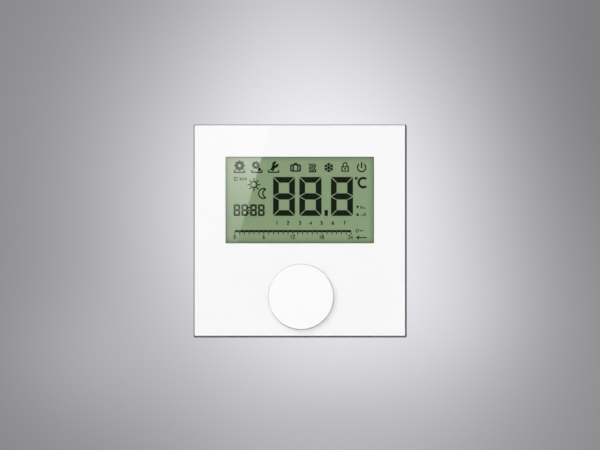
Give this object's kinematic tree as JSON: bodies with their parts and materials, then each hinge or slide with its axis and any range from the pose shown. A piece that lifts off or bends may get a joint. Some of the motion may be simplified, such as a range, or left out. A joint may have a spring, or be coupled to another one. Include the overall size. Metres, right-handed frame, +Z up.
{
  "type": "wall thermostat",
  "caption": "Square wall thermostat with a clear glossy face, a backlit segment display and a push-and-turn knob, on a wall box base plate.",
  "frame": {"origin": "on the wall plane, midway between the two wall screw slots, which is also the middle of the square housing", "axes": "+Y into the wall, +Z up, +X to the right as seen from the room"},
  "size_m": [0.0864, 0.032, 0.0863],
  "materials": {
    "housing_plastic": "moulded, fine matt grain",
    "base_plastic": "moulded, matt",
    "clear_pane": "clear, polished",
    "white_film": "printed white",
    "adhesive_film": "satin",
    "foam": "matt foam",
    "polariser": "satin film",
    "display_glass": "clear",
    "guide_acrylic": "clear, yellow-green light",
    "led_white": "gloss",
    "silicone": "matt",
    "board_laminate": "solder mask, satin",
    "black_plastic": "matt",
    "steel": "bright plated",
    "die_cast": "as cast, bright",
    "brass": "bright",
    "relay_plastic": "satin",
    "component_resin": "dipped resin",
    "coil_copper": "enamelled wire",
    "rotor_plastic": "matt",
    "knob_plastic": "satin"
  },
  "bodies": {
    "base": {"base_plate": "base_plastic", "terminal_housing": "black_plastic", "terminal_cages": "brass", "terminal_screws": "steel", "terminal_sockets": "brass", "terminal_fixing_screws": "steel", "latch_spring": "steel"},
    "front_module": {"front_shell": "housing_plastic", "front_pane": "clear_pane", "pane_mask": "white_film", "pane_adhesive": "adhesive_film", "display_gasket": "foam", "lcd_polarisers": "polariser", "lcd_glass_front": "display_glass", "lcd_glass_rear": "display_glass", "light_guide": "guide_acrylic", "light_reflector": "white_film", "backlight_leds": "led_white", "display_frame": "base_plastic", "display_connector": "silicone", "circuit_board": "board_laminate", "microcontroller": "black_plastic", "clock_crystal": "steel", "relay": "relay_plastic", "supply_capacitor": "component_resin", "smoothing_capacitors": "relay_plastic", "surge_varistor": "component_resin", "fuse": "component_resin", "backup_cell": "steel", "filter_coil": "coil_copper", "small_chips": "black_plastic", "temperature_sensor": "black_plastic", "contact_header": "black_plastic", "contact_blades": "brass", "rear_cover": "base_plastic", "cover_screws": "steel", "encoder_base": "black_plastic", "encoder_pins": "steel", "encoder_bracket": "steel", "encoder_bush": "die_cast", "detent_spring": "steel", "snap_dome": "steel"},
    "rotor": {"encoder_rotor": "rotor_plastic"},
    "knob": {"knob": "knob_plastic", "knob_clip": "steel", "encoder_shaft": "steel", "shaft_ring": "steel"}
  },
  "joints": [
    {"name": "module_tilt", "type": "hinge", "parent": "base", "child": "front_module", "pos_m": [0, -0.0032, 0.0388], "axis": [-1, 0, 0], "range_deg": [0, 20], "deforming": ["latch_spring"]},
    {"name": "knob_turn", "type": "hinge", "parent": "front_module", "child": "rotor", "pos_m": [0.0005, -0.018, -0.02675], "axis": [0, 1, 0], "continuous": true, "deforming": ["detent_spring"]},
    {"name": "knob_press", "type": "slide", "parent": "rotor", "child": "knob", "axis": [0, 1, 0], "range_m": [0, 0.0006], "stiffness_N_per_m": 300, "springref_m": -0.005, "deforming": ["snap_dome"]}
  ]
}
